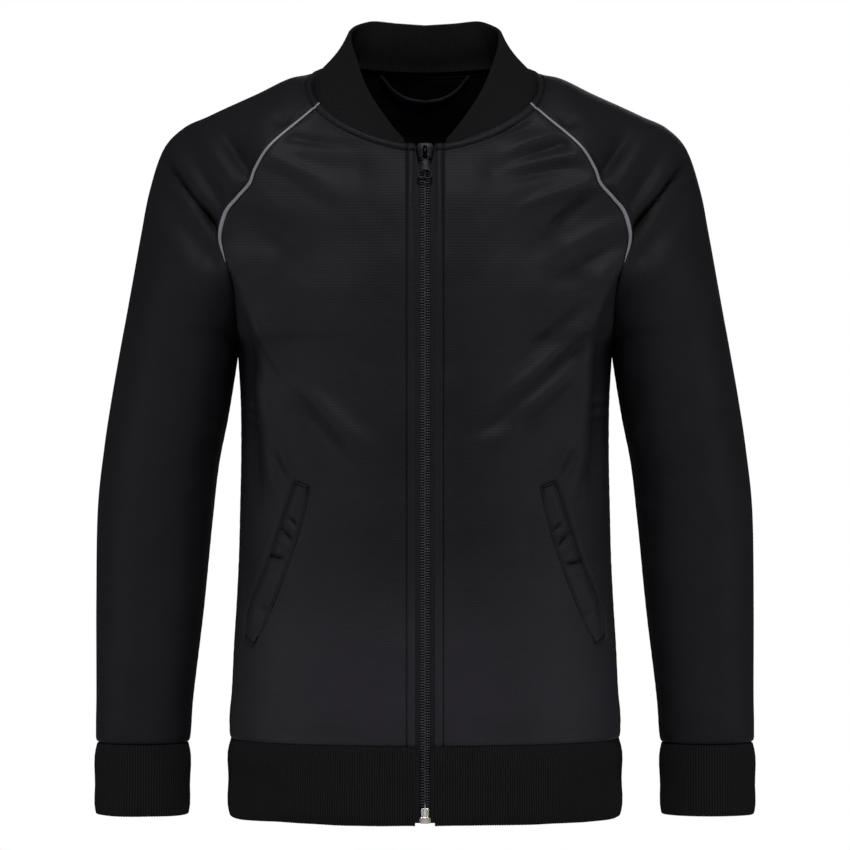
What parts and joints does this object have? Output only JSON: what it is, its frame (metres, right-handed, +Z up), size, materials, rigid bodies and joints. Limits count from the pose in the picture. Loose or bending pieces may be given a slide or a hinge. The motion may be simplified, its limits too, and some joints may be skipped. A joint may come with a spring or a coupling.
{
  "type": "track jacket",
  "caption": "Zip-up track jacket in raglan cut, filled out with no wearer: rib-knit collar, cuffs and hem, light piping at the front of the shoulders, slanting welt pockets.",
  "frame": {"origin": "middle of the neck at the height of the shoulders' highest point, where a wearer carries it", "axes": "+X towards the wearer's left, -Y out of the front, +Z up"},
  "size_m": [0.5912, 0.2446, 0.7193],
  "materials": {
    "shell_tricot": "dark grey polyester tricot with a soft sheen",
    "sleeve_tricot": "the same tricot, in shade",
    "rib_knit": "matt rib knit",
    "piping": "satin bias cord",
    "zip_tape": "woven tape",
    "zip_teeth": "dark teeth with a slight gloss",
    "black_nickel": "black nickel",
    "nickel": "bright nickel"
  },
  "bodies": {
    "jacket": {"back": "shell_tricot", "front_left": "shell_tricot", "front_right": "shell_tricot", "sleeve_left": "sleeve_tricot", "sleeve_right": "sleeve_tricot", "collar": "rib_knit", "hem_rib": "rib_knit", "cuff_left": "rib_knit", "cuff_right": "rib_knit", "piping_left": "piping", "piping_right": "piping", "welt_left": "shell_tricot", "welt_right": "shell_tricot", "zip_tape_left": "zip_tape", "zip_tape_right": "zip_tape", "hanger_loop": "zip_tape", "zip_chain": "zip_teeth", "zip_slider": "black_nickel", "zip_pins": "nickel", "zip_box": "nickel"},
    "pull": {"zip_pull": "black_nickel"}
  },
  "joints": [
    {"name": "pull_hinge", "type": "hinge", "parent": "jacket", "child": "pull", "pos_m": [0, -0.09971, -0.08607], "axis": [-1, 0, 0], "range_deg": [0, 110]}
  ]
}
